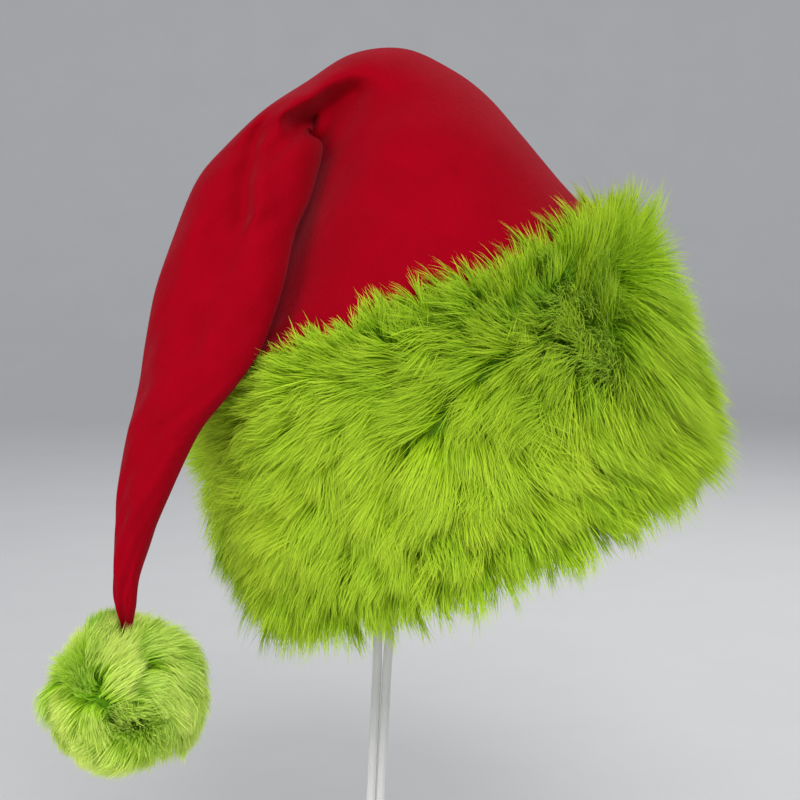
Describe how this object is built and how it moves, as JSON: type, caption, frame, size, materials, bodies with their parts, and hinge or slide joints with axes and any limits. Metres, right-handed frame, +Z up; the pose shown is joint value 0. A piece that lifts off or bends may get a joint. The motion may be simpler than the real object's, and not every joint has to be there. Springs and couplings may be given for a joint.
{
  "type": "santa hat on a stand",
  "caption": "Santa hat of red cloth with a long tail folded over to one side, a deep fur cuff and a fur pompom, held up by a bent-wire stand on a round base.",
  "frame": {"origin": "middle of the underside of the stand's base", "axes": "+Z up, +X to the viewer's right with the hat's higher side, and -Y towards the viewer"},
  "size_m": [0.2957, 0.2398, 0.4184],
  "materials": {
    "red_fleece": "matt napped fleece",
    "lime_fur": "long soft pile",
    "bright_lime_fur": "long soft pile",
    "white_coating": "smooth white powder coat"
  },
  "bodies": {
    "root": {"crown": "red_fleece", "fur_band": "lime_fur", "pompom": "bright_lime_fur", "stand_wire": "white_coating", "stand_base": "white_coating"}
  },
  "joints": []
}
